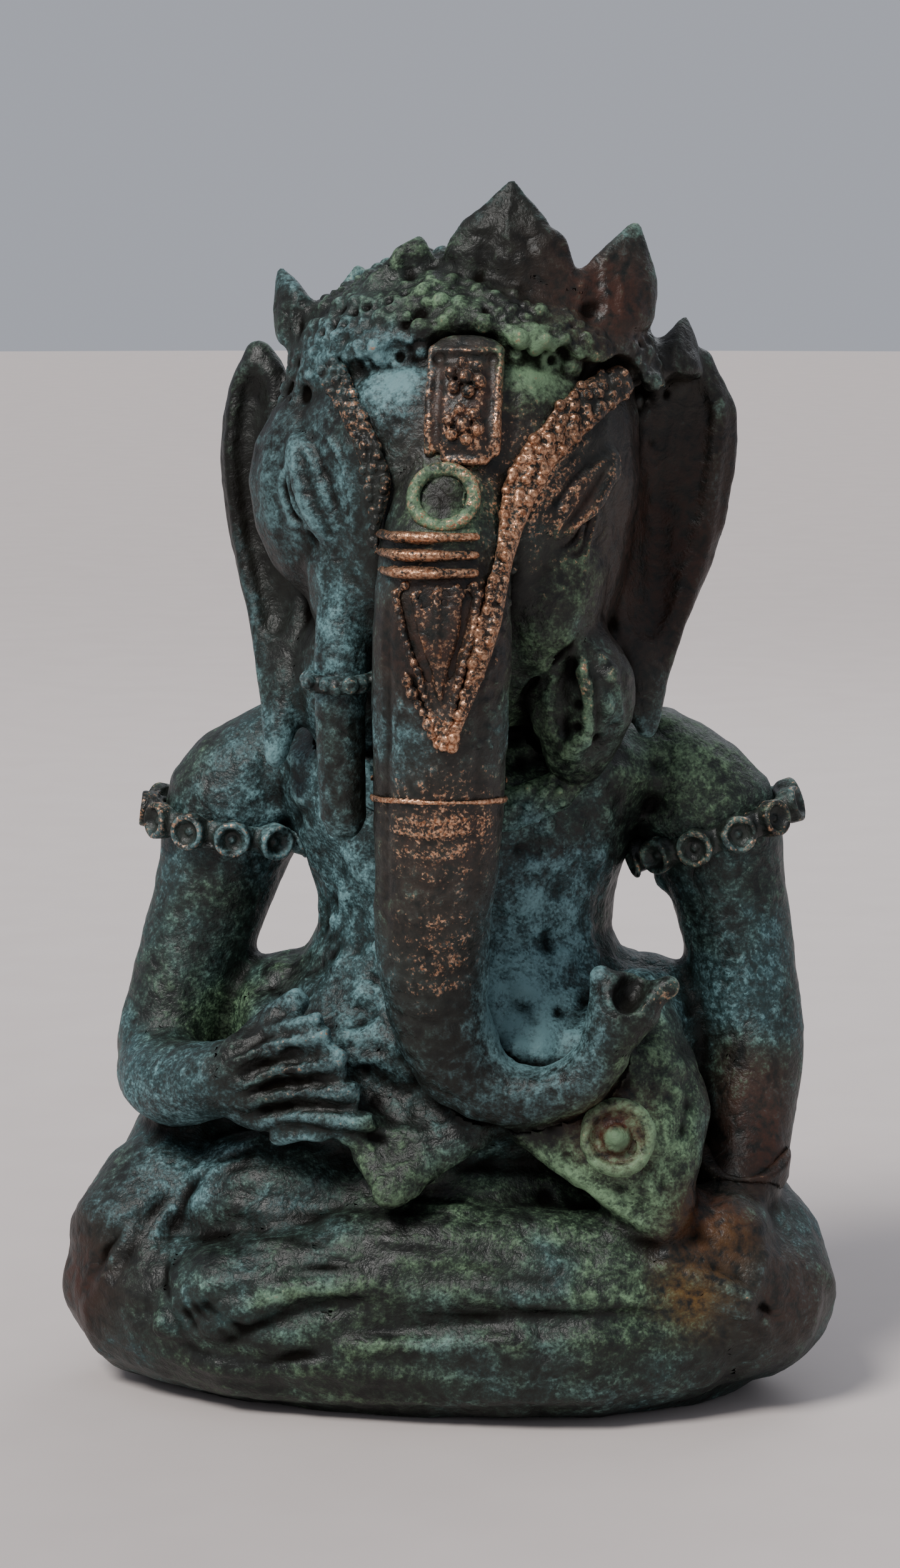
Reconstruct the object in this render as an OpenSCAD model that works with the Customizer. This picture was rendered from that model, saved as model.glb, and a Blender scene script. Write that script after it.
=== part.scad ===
// Seated elephant-headed deity statuette, cast bronze.
// The figure sits cross-legged and faces -Y; +Z is up and the origin is the centre of its footprint.
// Every part is one wax-pattern piece of the casting: a solid of its own that meets its neighbours
// face to face. Places below are for the nominal 125 mm figure, and figure_scale sizes them all.

/* [Figure] */
// Height from the resting face to the tip of the tallest crown leaf
statue_h = 125; // [100:1:180]
// Half width of the flat face the figure stands on
foot_w = 31; // [28:0.5:33]

/* [Head and trunk] */
// Half thickness of the ear plates
ear_t = 1.9; // [1.5:0.1:2.4]
// Depth that the ears are dished in front
ear_dish = 1.5; // [0.8:0.1:2]
// Half width of the trunk below the face
trunk_r = 6.2; // [5.5:0.1:6.8]
// Radius of the whole tusk
tusk_r = 2.6; // [2:0.1:3]
// Radius of the round medallion on the forehead
medallion_r = 3.7; // [3:0.1:4.2]

/* [Limbs] */
// Half thickness of the upper arms halfway down
arm_r = 5.9; // [5.2:0.1:6.4]
// Radius of a finger
finger_r = 1.8; // [1.4:0.1:2.1]

/* [Ornaments] */
// Half thickness of the beaded brow bands
band_t = 1.1; // [0.8:0.1:1.5]
// Half width of the beaded brow bands
band_w = 2; // [1.5:0.1:2.4]
// Radius of the round bosses on the armlets
boss_r = 2; // [1.5:0.1:2.3]
// Thickness of the crown leaves at the foot
leaf_t = 6; // [4:0.5:8]

/* [Hidden] */

nominal_h = 125;
figure_scale = statue_h / nominal_h;
centre_x = 0.03;      // puts the origin under the middle of the figure
centre_y = 2.67;

bronze = [0.24, 0.21, 0.17];
copper = [0.52, 0.33, 0.21];
verdigris = [0.31, 0.42, 0.40];
dark = [0.13, 0.11, 0.10];

front = [0, -1, 0];   // which way the depth of an upright limb points
over = [0, 0, 1];     // the same for a limb that lies across the lap
fine = 18;            // sides of a thick limb
small = 10;           // sides of a finger, band or bead
smooth = 2;           // rings between two stations of a limb

// ---- Stations: each is [x, y, z, half width, half depth] ----

// The mass that fills the lap from the floor up, between the legs
seat_path = [[0, 1, 0, foot_w, 17], [0, 2, 2.5, 34, 18.6], [0, 3, 7, 35, 19.4],
             [0, 3, 13, 31, 19], [0, 3, 19, 25, 17], [0, 2, 24, 19, 14.5], [0, 2, 27, 12, 10]];

right_thigh_path = [[-6, 13.4, 20, 10.4, 11], [-20, 9, 19, 12, 11.4], [-30, -1, 14.5, 10.5, 10.7]];
right_shin_path = [[-31.5, -3, 9.7, 9.3, 9.4], [-19, -11, 8.4, 8.6, 8.2], [0, -13, 7.8, 8, 7.6],
                   [16, -12.5, 7.8, 7.8, 7.6], [26, -8, 8.5, 7, 7]];
left_thigh_path = [[8.2, 13, 19.9, 10.4, 10.8], [21, 9, 17.4, 11.6, 10.8], [30.3, -1, 11.5, 10.6, 10.4]];
left_shin_path = [[30.5, -5, 11, 9, 9], [17, -11, 14.2, 7.6, 7], [2, -13, 15.6, 6.8, 6.4],
                  [-9, -14, 14.8, 6.2, 6]];
left_foot_path = [[-6, -14.2, 14.6, 5.6, 5.6], [-16, -14.6, 13.2, 6.4, 5.6], [-22.5, -14.4, 12.2, 6, 4.8]];

torso_path = [[1, 5, 21.3, 19.6, 13], [1, 3, 30, 22.4, 16], [1, 3, 37, 22.5, 16.4], [1, 3.8, 42, 19, 15],
              [1, 5, 47.5, 15.4, 13.8], [1, 5, 54, 16.5, 14.2], [1, 5, 60, 19, 14.6], [1.4, 6, 65.5, 21, 13.6],
              [1.8, 7, 69.5, 17, 11.4], [2.2, 6, 74, 11.5, 9.8], [2.2, 4, 80, 9, 8]];

right_upper_arm_path = [[-20, 8, 64.5, 6, 7], [-23.6, 8, 59.5, 7.8, 8.2], [-25.6, 7, 52, arm_r + 0.6, 6.8],
                        [-28, 5.5, 44, arm_r - 0.1, 6.2], [-29.8, 3.5, 37, arm_r - 0.3, 5.9],
                        [-30.4, 2, 33.5, 5.4, 5.6]];
right_forearm_path = [[-30.3, 1.5, 32.6, 5.3, 5.1], [-28.6, -5, 32, 5.1, 4.7], [-23.5, -10.6, 33.4, 4.6, 4.2],
                      [-20.5, -12.5, 34.5, 4.4, 3.8]];
left_upper_arm_path = [[21.5, 8, 64.5, 6, 7], [26, 8, 59, 7.6, 8], [28.3, 7.2, 52, arm_r + 0.3, 6.6],
                       [30, 6, 44, arm_r - 0.3, 6], [31.2, 4.5, 37, arm_r - 0.5, 5.7],
                       [31.4, 3.8, 34.5, 5.3, 5.5]];
left_forearm_path = [[31.4, 3.5, 34, 5.3, 5.3], [31.1, 1.6, 28.5, 4.9, 4.8], [30.7, -1, 24, 4.3, 4.2],
                     [30.2, -3.4, 21.5, 4.1, 3.9]];

head_path = [[2.2, -1, 70, 8, 8], [2, -3, 75, 12.4, 11.5], [1.8, -4, 81, 15.4, 14.2], [1.8, -4, 88, 17.2, 16.4],
             [1.8, -4, 95, 17.8, 17.2], [2, -3.6, 101, 17.6, 16.8], [2.4, -3, 106, 15.6, 15.2],
             [2.6, -2, 110, 11, 11], [2.8, -1, 112, 6, 6]];
trunk_path = [[2.6, -10, 102, 5, 5], [2.5, -15.4, 96.4, 6.2, 5.8], [2, -20, 89, trunk_r + 0.3, 6.2],
              [1.8, -21.8, 78, trunk_r + 0.7, 5.9], [1.4, -20, 67, trunk_r + 0.4, 5.8],
              [0.8, -17.8, 57, trunk_r, 5.6], [0.2, -16.6, 48, 5.7, 5.3], [1.6, -16.2, 39.6, 5, 4.6],
              [5.8, -16.4, 34.6, 3.8, 4], [11, -16.8, 34, 3, 3.4], [15.4, -17.2, 36, 2.8, 3.2],
              [17.8, -17.4, 39, 2.7, 3]];
trunk_tip_path = [[17, -17.4, 38, 2, 2.4], [18.4, -17.6, 41, 3, 3], [20, -17.6, 44, 3.6, 3]];

// Ears, from the top of the plate down to the lobe
right_ear_path = [[-20.4, 4.5, 107, 1.8, 1.4], [-20.2, 4, 103.5, 4, ear_t], [-20.4, 2.6, 96.5, 4.7, ear_t],
                  [-19.2, 1.4, 88.5, 4.6, ear_t], [-17.4, -1, 80.5, 3.7, ear_t], [-16.6, -4, 73, 2.5, 1.8],
                  [-17.2, -6, 66.4, 1.2, 1.3]];
left_ear_path = [[24.8, 3.5, 106.6, 2.2, 1.4], [24, 3, 102.5, 5.6, ear_t], [23, 2, 96, 6.6, ear_t],
                 [21.4, 0.6, 88, 6.4, ear_t], [19.8, -1.4, 80.5, 4.6, ear_t], [20, -3.4, 74.5, 2.6, 1.8],
                 [20.6, -4, 70, 1.4, 1.4]];

right_tusk_path = [[-7.4, -11.4, 87, tusk_r * 1.3, tusk_r * 1.3], [-8.6, -15, 81, tusk_r * 1.2, tusk_r * 1.1],
                   [-8.9, -16.6, 73, tusk_r, tusk_r], [-8.7, -16.6, 61.8, tusk_r * 0.9, tusk_r * 0.9]];
// The empty socket: an almond mound below the cheek, and the hollow in it
stump_path = [[14.2, -8.2, 79.5, 3, 4.6], [14.6, -9.2, 75.6, 5.2, 5.4], [14.4, -8.8, 71.2, 5.2, 5],
              [13.8, -6.8, 67.6, 3.6, 4]];
socket_path = [[13.8, -14.2, 77, 1.2, 1.5], [13.4, -15.3, 74.6, 2.2, 2.3], [13, -14.8, 72, 2.1, 2.2],
               [13.2, -13.2, 70, 1.1, 1.5]];

// The brow bands run from the crown over the brow and meet in a point on the trunk
right_band_path = [[-10.4, -13, 106.2, band_w, band_t], [-7, -17.8, 101.6, band_w, band_t],
                   [-4.6, -20.4, 96, band_w * 0.9, band_t], [-3.9, -21.4, 90.4, band_w * 0.8, band_t],
                   [-2.7, -25, 83.6, band_w * 0.6, band_t], [-0.6, -27, 77, band_w * 0.5, band_t],
                   [2.2, -26.8, 70.8, band_w * 0.4, band_t]];
left_band_path = [[18.6, -9.6, 105.2, band_w, band_t], [15.4, -14.4, 103, band_w * 1.3, band_t],
                  [11.6, -18.2, 99.2, band_w * 1.25, band_t], [9.2, -20.4, 94.4, band_w * 1.1, band_t],
                  [7.6, -23.4, 88.8, band_w, band_t], [6.8, -26, 82.4, band_w * 0.9, band_t],
                  [5.4, -27, 76.6, band_w * 0.6, band_t], [3.2, -26.6, 70.6, band_w * 0.4, band_t]];

// ---- Sweeps ----

function xyz(p) = [p[0], p[1], p[2]];
function unit(v) = v / norm(v);
function curve(a, b, c, d, t) =
    (2 * b + (c - a) * t + (2 * a - 5 * b + 4 * c - d) * t * t + (3 * b - a - 3 * c + d) * t * t * t) / 2;
function spline(p, n) = [
    for (i = [0 : len(p) - 2], k = [0 : n - 1])
        curve(p[max(i - 1, 0)], p[i], p[i + 1], p[min(i + 2, len(p) - 1)], k / n),
    p[len(p) - 1]
];
function heading(p, i) = unit(xyz(p[min(i + 1, len(p) - 1)]) - xyz(p[max(i - 1, 0)]));
function dome(p, way, angle) = let (reach = min(p[3], p[4]) * sin(angle), c = xyz(p) + way * reach)
    [c[0], c[1], c[2], p[3] * cos(angle), p[4] * cos(angle)];
function rounded(p) = let (last = len(p) - 1) concat(
    [for (angle = [75, 45]) dome(p[0], -heading(p, 0), angle)],
    p,
    [for (angle = [45, 75]) dome(p[last], heading(p, last), angle)]);
function ring(p, i, facing, sides, level) =
    let (t = level ? [0, 0, 1] : heading(p, i), side = unit(cross(facing, t)), face = cross(t, side))
    [for (k = [0 : sides - 1])
        xyz(p[i]) + side * p[i][3] * cos(360 * k / sides) + face * p[i][4] * sin(360 * k / sides)];

// A skin over the rings of a path; the half depth of every ring points towards facing.
// Rings stand square to the path, or lie flat when level
module skin(p, facing, sides, level = false) {
    rings = len(p);
    points = [for (i = [0 : rings - 1]) each ring(p, i, facing, sides, level)];
    walls = [for (i = [0 : rings - 2], k = [0 : sides - 1])
        let (a = i * sides + k, b = i * sides + (k + 1) % sides)
            each [[a, a + sides, b + sides], [a, b + sides, b]]];
    first = [for (k = [0 : sides - 1]) k];
    last = [for (k = [sides - 1 : -1 : 0]) (rings - 1) * sides + k];
    polyhedron(points, concat(walls, [first, last]), convexity = 6);
}

module limb(p, facing = front, sides = fine, steps = smooth) skin(rounded(spline(p, steps)), facing, sides);
module block(p, sides = fine, steps = smooth) skin(spline(p, steps), front, sides, true);
module lump(at, size, turn = [0, 0, 0], sides = fine)
    translate(at) rotate(turn) scale(size) sphere(1, $fn = sides);

// One closed mesh per casting piece, set over the middle of the footprint and sized from the nominal figure
module cast(tone) color(tone) scale(figure_scale) translate([centre_x, centre_y, 0])
    resize([0, 0, 0]) difference() {
        children(0);
        if ($children > 1) children([1 : $children - 1]);
    }

// ---- Forms: the full shape of each piece, before its neighbours are cut away ----

module seat_form() block(seat_path, 28);
module right_leg_form() {
    limb(right_thigh_path, over);
    limb(right_shin_path, over);
    lump([-26.4, 5, 20.4], [9.6, 10, 10.4], [0, 24, 0], 16);
    lump([-16, -4.6, 18.4], [13, 8.6, 9.2], [0, 0, 0], 16);
}
module left_leg_form() {
    limb(left_thigh_path, over);
    limb(left_shin_path, over);
}
module left_foot_form() limb(left_foot_path, over, 16);
module legs_form() {
    seat_form();
    right_leg_form();
    left_leg_form();
    left_foot_form();
}
module torso_form() {
    block(torso_path, 24);
    lump([19.4, 6, 35.4], [7.6, 9, 9.4], [0, 0, 0], 16);
    lump([-17.4, 5, 36.4], [6.8, 9, 8], [0, 0, 0], 16);
}
module right_upper_arm_form() limb(right_upper_arm_path);
module left_upper_arm_form() limb(left_upper_arm_path);
module right_forearm_form() limb(right_forearm_path, over, 16);
module left_forearm_form() limb(left_forearm_path, front, 16);
module head_form() {
    block(head_path, 24);
    for (side = [-1, 1]) lump([2 + side * 9.4, -10.6, 84], [5.6, 7, 9], [0, side * 14, 0], 14);
    lump([-10.9, -5.4, 93.4], [9, 9.6, 11.6], [0, -8, 0], 16);
    lump([13.2, -5, 94], [6.6, 9.4, 11], [0, 8, 0], 16);
    for (side = [-1, 1]) lump([1.6 + side * 11.4, -2.4, 74.4], [6, 7.4, 9], [0, 0, 0], 14);
}
module trunk_form() limb(trunk_path, [0, -1, 0.05], 18);
// The fold spans from a tip beside the waist to the groin and down to the knee
module drape_form() hull() {
    lump([20, -6, 42.6], [3.4, 3.4, 2.8], [0, 0, 0], small);
    lump([24.4, -8, 31], [3.4, 5, 5], [0, 0, 0], small);
    lump([23.6, -13.6, 21], [2.6, 3, 2.4], [0, 0, 0], small);
    lump([10.4, -14, 29.6], [2.4, 3, 2], [0, 0, 0], small);
    lump([18.4, -12, 30], [5.6, 5.6, 6.4], [0, 0, 0], small);
    lump([20.4, -10.6, 35], [5, 5, 5.4], [0, 0, 0], small);
}
module cap_form() difference() {
    lump([3, -2, 104.4], [20.4, 18, 14.4], [0, 3, 0], 24);
    translate([3.4, 0, 82]) rotate([90, 0, 0]) scale([1.14, 1, 1]) cylinder(h = 40, r = 26.4, $fn = 40);
    translate([-30, -4, 80]) cube([66, 40, 18]);
}

// ---- Seat and legs ----

module seat_base() cast(bronze) seat_form();
module right_leg() cast(bronze) {
    standing() right_leg_form();
    seat_form();
}
module left_leg() cast(bronze) {
    left_leg_form();
    seat_form();
    right_leg_form();
}
module left_foot() cast(bronze) {
    union() {
        left_foot_form();
        for (k = [0 : 4])
            lump([-26.5 + 0.5 * k, -17.6 + 1.2 * k, 9.2 + 1.5 * k], [2.4, 1.5, 1.5], [0, 0, 20], small);
    }
    seat_form();
    right_leg_form();
    left_leg_form();
}
// Keeps only what is above the resting plane
module standing() intersection() {
    children();
    translate([-60, -60, 0]) cube([120, 120, 150]);
}

// ---- Body and dress ----

module torso() cast(verdigris) {
    torso_form();
    legs_form();
}
// Rolled top of the hip cloth
module waistband() cast(verdigris) {
    translate([1, 3, 39.6]) rotate([12, 0, 0]) scale([20.8, 15.2, 1]) rotate_extrude($fn = 28)
        translate([1, 0]) scale([1 / 16, 1]) circle(2.5, $fn = 8);
    torso_form();
    legs_form();
}
// Cloth that falls from the belly into the lap and ends in a point
module loincloth() cast(verdigris) {
    hull() {
        lump([-8, -10.4, 31], [3, 2.6, 3], [0, 0, 0], small);
        lump([6.6, -11.4, 31.4], [2.4, 2.6, 2], [0, 0, 0], small);
        lump([-1.4, -14.4, 28], [4, 2.6, 2.6], [0, 0, 0], small);
        lump([-4, -18.2, 23.6], [1.8, 1.7, 1.4], [0, 0, 0], small);
    }
    torso_form();
    legs_form();
    drape_form();
}
// Swollen fold of cloth on the left thigh
module thigh_drape() cast(verdigris) {
    drape_form();
    torso_form();
    legs_form();
}
module drape_rosette() cast(copper) {
    translate([19, -17.2, 30.2]) rotate([82, 0, 6]) {
        rotate_extrude($fn = 18) translate([3.1, 0]) circle(0.9, $fn = 8);
        scale([1, 1, 0.5]) sphere(2.6, $fn = small);
    }
    drape_form();
}
// Broad beaded collar on the chest
module necklace() cast(bronze) {
    limb([[-11.4, -4, 68, 1.1, 2], [-7.6, -7.4, 63.6, 1.2, 2.2], [2, -9.4, 60.6, 1.3, 2.4],
          [12, -7.2, 63.6, 1.2, 2.2], [15.4, -4.2, 68, 1.1, 2]], over, 8, 2);
    torso_form();
}

// ---- Arms ----

module finger(from, to, r = finger_r) hull() {
    translate(from) sphere(r, $fn = 8);
    translate(to) sphere(r * 0.9, $fn = 8);
}
// The right hand lies on its edge, its fingers fanned over one another towards the belly
module right_hand_form() {
    lump([-18, -13.4, 34.4], [5.6, 3.6, 5.4], [10, 20, 14], 14);
    for (k = [0 : 3])
        finger([-17.6 + 0.6 * k, -14.6, 36.8 - 2.3 * k], [-11.6 + 1.6 * k, -16.6, 40.6 - 3.2 * k]);
    finger([-19, -12, 38.2], [-14, -12.6, 42.4]);
}
module left_hand_form() {
    lump([29, -8.4, 19.6], [5, 5.4, 3.2], [24, 0, 20], 14);
    for (k = [0 : 3])
        finger([26 + 2.2 * k, -11.4, 19 - 0.8 * k], [23.8 + 2.6 * k, -15.4 + 0.3 * k, 16.4 - 1.1 * k]);
    finger([25.6, -7.4, 21.4], [22.6, -10.8, 20.6]);
}
module right_upper_arm() cast(bronze) {
    right_upper_arm_form();
    torso_form();
    legs_form();
}
module right_forearm() cast(bronze) {
    right_forearm_form();
    right_upper_arm_form();
    torso_form();
    legs_form();
}
module right_hand() cast(copper) {
    right_hand_form();
    right_forearm_form();
    torso_form();
    legs_form();
}
module left_upper_arm() cast(bronze) {
    left_upper_arm_form();
    torso_form();
    legs_form();
}
module left_forearm() cast(bronze) {
    left_forearm_form();
    left_upper_arm_form();
    torso_form();
    legs_form();
}
module left_hand() cast(copper) {
    left_hand_form();
    left_forearm_form();
    legs_form();
}
// Band round the upper arm, with a row of round bosses on its outer side
module armlet_form(at, tilt, radius, side) translate(at) rotate(tilt) {
    rotate_extrude($fn = 20) translate([radius, 0]) scale([0.7, 1]) circle(1.5, $fn = 6);
    for (k = [0 : 6]) rotate(180 + side * (30 * k - 20)) translate([side * radius, 0, 0])
        rotate([0, side * 90, 0])
            cylinder(h = 1.7, r = boss_r, $fn = small);
}
module right_armlet() cast(copper) {
    armlet_form([-24.1, 7.6, 57.8], [4, 8, 0], 8, 1);
    right_upper_arm_form();
    torso_form();
}
module left_armlet() cast(copper) {
    armlet_form([26.7, 7.8, 58], [4, -18, 0], 7.9, -1);
    left_upper_arm_form();
    torso_form();
}
module left_bracelet() cast(copper) {
    translate([30.4, -1.6, 24.6]) rotate([26, 6, 0]) linear_extrude(3.2, center = true) circle(5.2, $fn = 20);
    left_forearm_form();
    drape_form();
}

// ---- Head ----

module head() cast(verdigris) {
    head_form();
    torso_form();
}
// A dished plate; yaw turns its outer edge back
module ear(path, yaw) {
    facing = [sin(yaw), -cos(yaw), 0];
    lift = ear_dish + ear_t;
    dish = [for (p = path)
        [p[0] + facing[0] * lift, p[1] + facing[1] * lift, p[2] + 0.5, p[3] * 0.72, p[4] * 1.5]];
    cast(dark) {
        limb(path, facing, 14);
        skin(rounded(spline([for (i = [1 : 4]) dish[i]], smooth)), facing, 12);
        head_form();
        torso_form();
        right_upper_arm_form();
        left_upper_arm_form();
    }
}
module right_ear() ear(right_ear_path, -24);
module left_ear() ear(left_ear_path, 24);
// Heavy closed lid, a long almond that slants up and out
module eye(at, turn) cast(bronze) {
    lump(at, [6.2, 2.1, 2.5], turn, 14);
    head_form();
}
module right_eye() eye([-11.6, -14.8, 94.4], [0, 62, -36]);
module left_eye() eye([14.6, -14.5, 94], [0, -40, 40]);

module trunk() cast(bronze) {
    trunk_form();
    head_form();
    torso_form();
    drape_form();
}
module trunk_tip() cast(dark) {
    union() {
        limb(trunk_tip_path, front, 12);
        finger([17.4, -17.6, 43.6], [17.2, -17.6, 46.4], 1.5);
        finger([21.6, -17.6, 44], [24, -17.6, 45.6], 1.4);
    }
    lump([20.6, -19.4, 45.8], [1.9, 3, 3], [0, 24, 0], small);
    trunk_form();
    torso_form();
    drape_form();
}
// Pointed plaque on the upper trunk
module trunk_plaque() cast(copper) {
    limb([[2, -26, 85.6, 4.6, 1.3], [2.1, -26.7, 81.4, 3.9, 1.3], [2.3, -27, 76.4, 2.4, 1.3],
          [2.7, -26.5, 70.6, 0.6, 0.9]], front, 12);
    trunk_form();
}
module trunk_bars() cast(copper) {
    for (k = [0 : 2]) translate([0, 0.5 * k, 87.2 + 1.7 * k])
        limb([[-4, -21.8 - 0.5 * k, 0, 0.8, 0.6], [-2, -26.4, 0, 1, 0.6], [2, -27, 0, 1, 0.6],
              [5.6, -26, 0, 0.8, 0.5]], over, 6);
    trunk_form();
    head_form();
}
// Paired rings round the trunk below the plaque
module trunk_rings() cast(copper) {
    for (z = [64.4, 66.2]) translate([1.3, z * 0.2 - 32.6, z]) rotate([-4, 0, 0])
        scale([6.6, 5.8, 1]) rotate_extrude($fn = 18) translate([1, 0]) scale([1 / 9, 1]) circle(0.5, $fn = 6);
    trunk_form();
}
module right_tusk_form() limb(right_tusk_path, front, 12);
module right_tusk() cast(bronze) {
    right_tusk_form();
    head_form();
    trunk_form();
    torso_form();
}
module right_tusk_ring() cast(copper) {
    translate([-8.9, -16.2, 75.6]) rotate([6, 0, 0]) {
        rotate_extrude($fn = 16) translate([tusk_r + 0.2, 0]) circle(1.1, $fn = 6);
        for (k = [0 : 7]) rotate(45 * k) translate([tusk_r + 0.8, 0, 0]) sphere(0.95, $fn = 6);
    }
    right_tusk_form();
    trunk_form();
    head_form();
}
module left_tusk_stump() cast(bronze) {
    limb(stump_path, front, 14);
    limb(socket_path, front, small);
    head_form();
    trunk_form();
    torso_form();
}

// ---- Forehead ornaments ----

module strap_form() limb([[3.8, -17.2, 108.4, 3.9, 1.4], [3.8, -19.4, 104.6, 3.9, 1.4],
                          [3.8, -20.8, 101, 3.8, 1.4], [3.8, -21.4, 98.4, 3.6, 1.3]], front, 12, 1);
module forehead_strap() cast(bronze) {
    strap_form();
    head_form();
    trunk_form();
}
module forehead_rosettes() cast(copper) {
    for (k = [0 : 1]) translate([4, -21.9 + 1.7 * k, 101.2 + 4.4 * k]) rotate([82 - 14 * k, 0, 0]) {
        cylinder(h = 1.6, r = 1.9, center = true, $fn = small);
        scale([1, 1, 1.5]) sphere(1, $fn = 8);
    }
    strap_form();
    head_form();
}
module forehead_medallion() cast(copper) {
    translate([2.3, -23, 93.9]) rotate([64, 0, 0]) {
        cylinder(h = 2.6, r = medallion_r, center = true, $fn = 24);
        scale([1, 1, 1.2]) sphere(1.6, $fn = small);
    }
    head_form();
    trunk_form();
    strap_form();
}
module brow_band(path, side) cast(copper) {
    limb(path, [side * 0.45, -1, 0.25], 8);
    head_form();
    trunk_form();
}
module right_brow_band() brow_band(right_band_path, -1);
module left_brow_band() brow_band(left_band_path, 1);

// ---- Crown ----

// Lumpy hair mass between the ears; its lower edge arches over the forehead
module crown_cap() cast(verdigris) {
    cap_form();
    head_form();
    strap_form();
    for (path = [right_ear_path, left_ear_path]) limb(path, front, 14);
    for (path = [right_band_path, left_band_path]) limb(path, front, 8);
}
// A thick pointed petal: a lens-shaped foot, a shoulder and a tip
module leaf(foot, width, tip, turn = 0) hull() {
    translate(foot) rotate(turn) scale([width / 2, leaf_t / 2, 1.4]) sphere(1, $fn = 12);
    translate(foot * 0.55 + tip * 0.45) rotate(turn) scale([width * 0.4, leaf_t * 0.32, 1]) sphere(1, $fn = 8);
    translate(tip) sphere(0.45, $fn = 6);
}
module crown_leaf(foot, width, tip, turn = 0) cast(dark) {
    leaf(foot, width, tip, turn);
    cap_form();
    head_form();
}
module crown_centre_leaf() crown_leaf([6.4, -10.6, 113.4], 17, [7.2, -8.6, 124.6]);
module crown_right_inner_leaf() crown_leaf([-4, -10.2, 112.6], 12, [-1.8, -8.4, 119.2]);
module crown_right_outer_leaf() crown_leaf([-13.4, -5, 108.4], 10, [-17.2, -1.6, 115.8], -42);
module crown_left_inner_leaf() crown_leaf([15.6, -9.2, 110.4], 14, [19.4, -5, 120.4], 34);
module crown_left_outer_leaf() crown_leaf([22.4, -0.6, 105.8], 9, [23.8, 2, 111], 66);
module crown_back_leaves() cast(dark) {
    for (k = [-1 : 1])
        leaf([3.2 + 12 * k, 12 - 4 * abs(k), 109.4 - abs(k)], 12,
             [3.2 + 14 * k, 13 - 4 * abs(k), 118 - 2 * abs(k)], -30 * k);
    cap_form();
    head_form();
}

seat_base();
right_leg();
left_leg();
left_foot();
torso();
waistband();
loincloth();
thigh_drape();
drape_rosette();
necklace();
right_upper_arm();
right_forearm();
right_hand();
right_armlet();
left_upper_arm();
left_forearm();
left_hand();
left_armlet();
left_bracelet();
head();
right_ear();
left_ear();
right_eye();
left_eye();
trunk();
trunk_tip();
trunk_plaque();
trunk_bars();
trunk_rings();
right_tusk();
right_tusk_ring();
left_tusk_stump();
forehead_strap();
forehead_rosettes();
forehead_medallion();
right_brow_band();
left_brow_band();
crown_cap();
crown_centre_leaf();
crown_right_inner_leaf();
crown_right_outer_leaf();
crown_left_inner_leaf();
crown_left_outer_leaf();
crown_back_leaves();
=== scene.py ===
"""Patinated bronze statuette of a seated elephant-headed deity.

The CAD nodes are read as distance fields, melted together where the founder smoothed the wax, worked
over with the ornament and wear of the casting, and skinned again: one closed piece for each node.
Lengths are in millimetres in the row frame until a mesh is written.
"""

import math

import bpy
import numpy as np
import openvdb as vdb
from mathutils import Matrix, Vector


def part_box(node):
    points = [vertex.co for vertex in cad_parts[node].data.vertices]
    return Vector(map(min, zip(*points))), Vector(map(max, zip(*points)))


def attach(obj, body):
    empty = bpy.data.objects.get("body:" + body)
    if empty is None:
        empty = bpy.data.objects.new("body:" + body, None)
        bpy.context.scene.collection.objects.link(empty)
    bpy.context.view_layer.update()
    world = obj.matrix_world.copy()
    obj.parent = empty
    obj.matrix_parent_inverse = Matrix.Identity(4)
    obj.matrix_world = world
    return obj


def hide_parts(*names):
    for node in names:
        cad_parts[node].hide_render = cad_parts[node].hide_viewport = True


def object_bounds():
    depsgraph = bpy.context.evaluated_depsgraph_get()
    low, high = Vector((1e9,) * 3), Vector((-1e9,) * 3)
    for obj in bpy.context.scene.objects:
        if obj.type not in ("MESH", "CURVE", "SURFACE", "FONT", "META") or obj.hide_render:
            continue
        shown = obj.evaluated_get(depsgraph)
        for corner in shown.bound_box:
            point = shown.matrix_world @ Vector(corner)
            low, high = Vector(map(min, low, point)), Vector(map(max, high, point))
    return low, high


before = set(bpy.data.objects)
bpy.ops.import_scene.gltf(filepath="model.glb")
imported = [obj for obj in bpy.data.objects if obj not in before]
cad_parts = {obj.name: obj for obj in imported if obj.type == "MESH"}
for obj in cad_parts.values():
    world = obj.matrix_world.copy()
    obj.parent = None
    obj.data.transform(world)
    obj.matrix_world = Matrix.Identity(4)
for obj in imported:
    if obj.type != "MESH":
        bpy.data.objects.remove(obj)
size_at_load = [list(corner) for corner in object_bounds()]

MM = 0.001
SEED = 20260
REACH = 3.3      # how far from a surface its distances are kept
NEAR = 2.4       # how far from a surface the tools work
GRAIN = [(0.12, 3.1), (0.07, 1.4), (0.04, 0.75)]    # height and size of the cast skin's unevenness
FOLDS = [(0.34, 1.7), (0.2, 0.9)]                   # height and size of the creases in the cloth
FOLD_STRETCH = [0.16, 0.7, 1.0]                     # creases are drawn out across the front
FOLD_SLANT = 0.10
CAD_LOW, CAD_HIGH = np.array(size_at_load) / MM


# ---- reading the frame

def box_mm(node):
    """Lowest and highest corner of a CAD node, in millimetres."""
    lo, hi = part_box(node)
    return np.array(lo) / MM, np.array(hi) / MM


def spot(node, across, deep, high):
    """A place in a node's box: 0 is its left, front and bottom, and 1 its right, back and top."""
    lo, hi = box_mm(node)
    return lo + (hi - lo) * [across, deep, high]


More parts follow.
